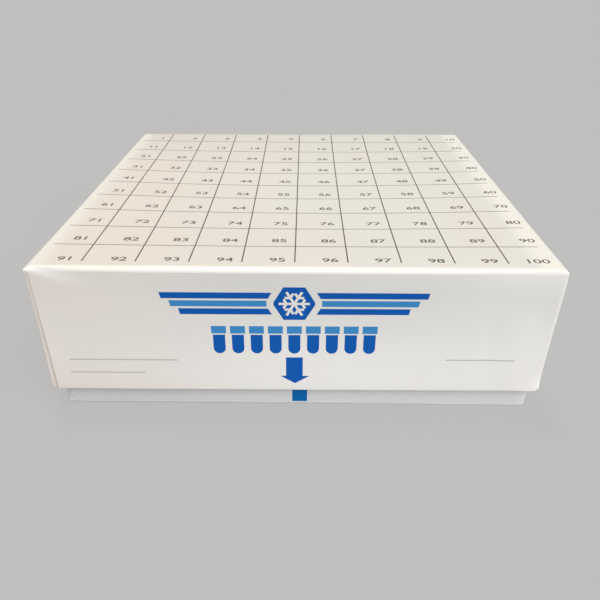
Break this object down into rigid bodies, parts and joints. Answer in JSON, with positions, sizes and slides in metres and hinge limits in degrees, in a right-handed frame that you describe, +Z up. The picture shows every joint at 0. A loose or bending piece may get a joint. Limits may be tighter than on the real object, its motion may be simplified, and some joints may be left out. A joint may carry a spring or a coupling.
{
  "type": "cardboard freezer box",
  "caption": "Low square freezer box of coated board: a lid that slides down over a base tray, with a slotted divider inside that makes a grid of cells for small tubes.",
  "frame": {"origin": "middle of the box's underside, at the height of the surface that it stands on", "axes": "+Z up, -Y towards the printed front, +X to the right as seen from the front"},
  "size_m": [0.133, 0.133, 0.043],
  "materials": {
    "lid_board": "satin",
    "base_board": "satin",
    "divider_board": "matte"
  },
  "bodies": {
    "base": {"base": "base_board", "row_divider_1": "divider_board", "row_divider_2": "divider_board", "row_divider_3": "divider_board", "row_divider_4": "divider_board", "row_divider_5": "divider_board", "row_divider_6": "divider_board", "row_divider_7": "divider_board", "row_divider_8": "divider_board", "row_divider_9": "divider_board", "column_divider_1": "divider_board", "column_divider_2": "divider_board", "column_divider_3": "divider_board", "column_divider_4": "divider_board", "column_divider_5": "divider_board", "column_divider_6": "divider_board", "column_divider_7": "divider_board", "column_divider_8": "divider_board", "column_divider_9": "divider_board"},
    "lid": {"lid": "lid_board"}
  },
  "joints": [
    {"name": "lid_lift", "type": "slide", "parent": "base", "child": "lid", "axis": [0, 0, 1], "range_m": [0, 0.06]}
  ]
}
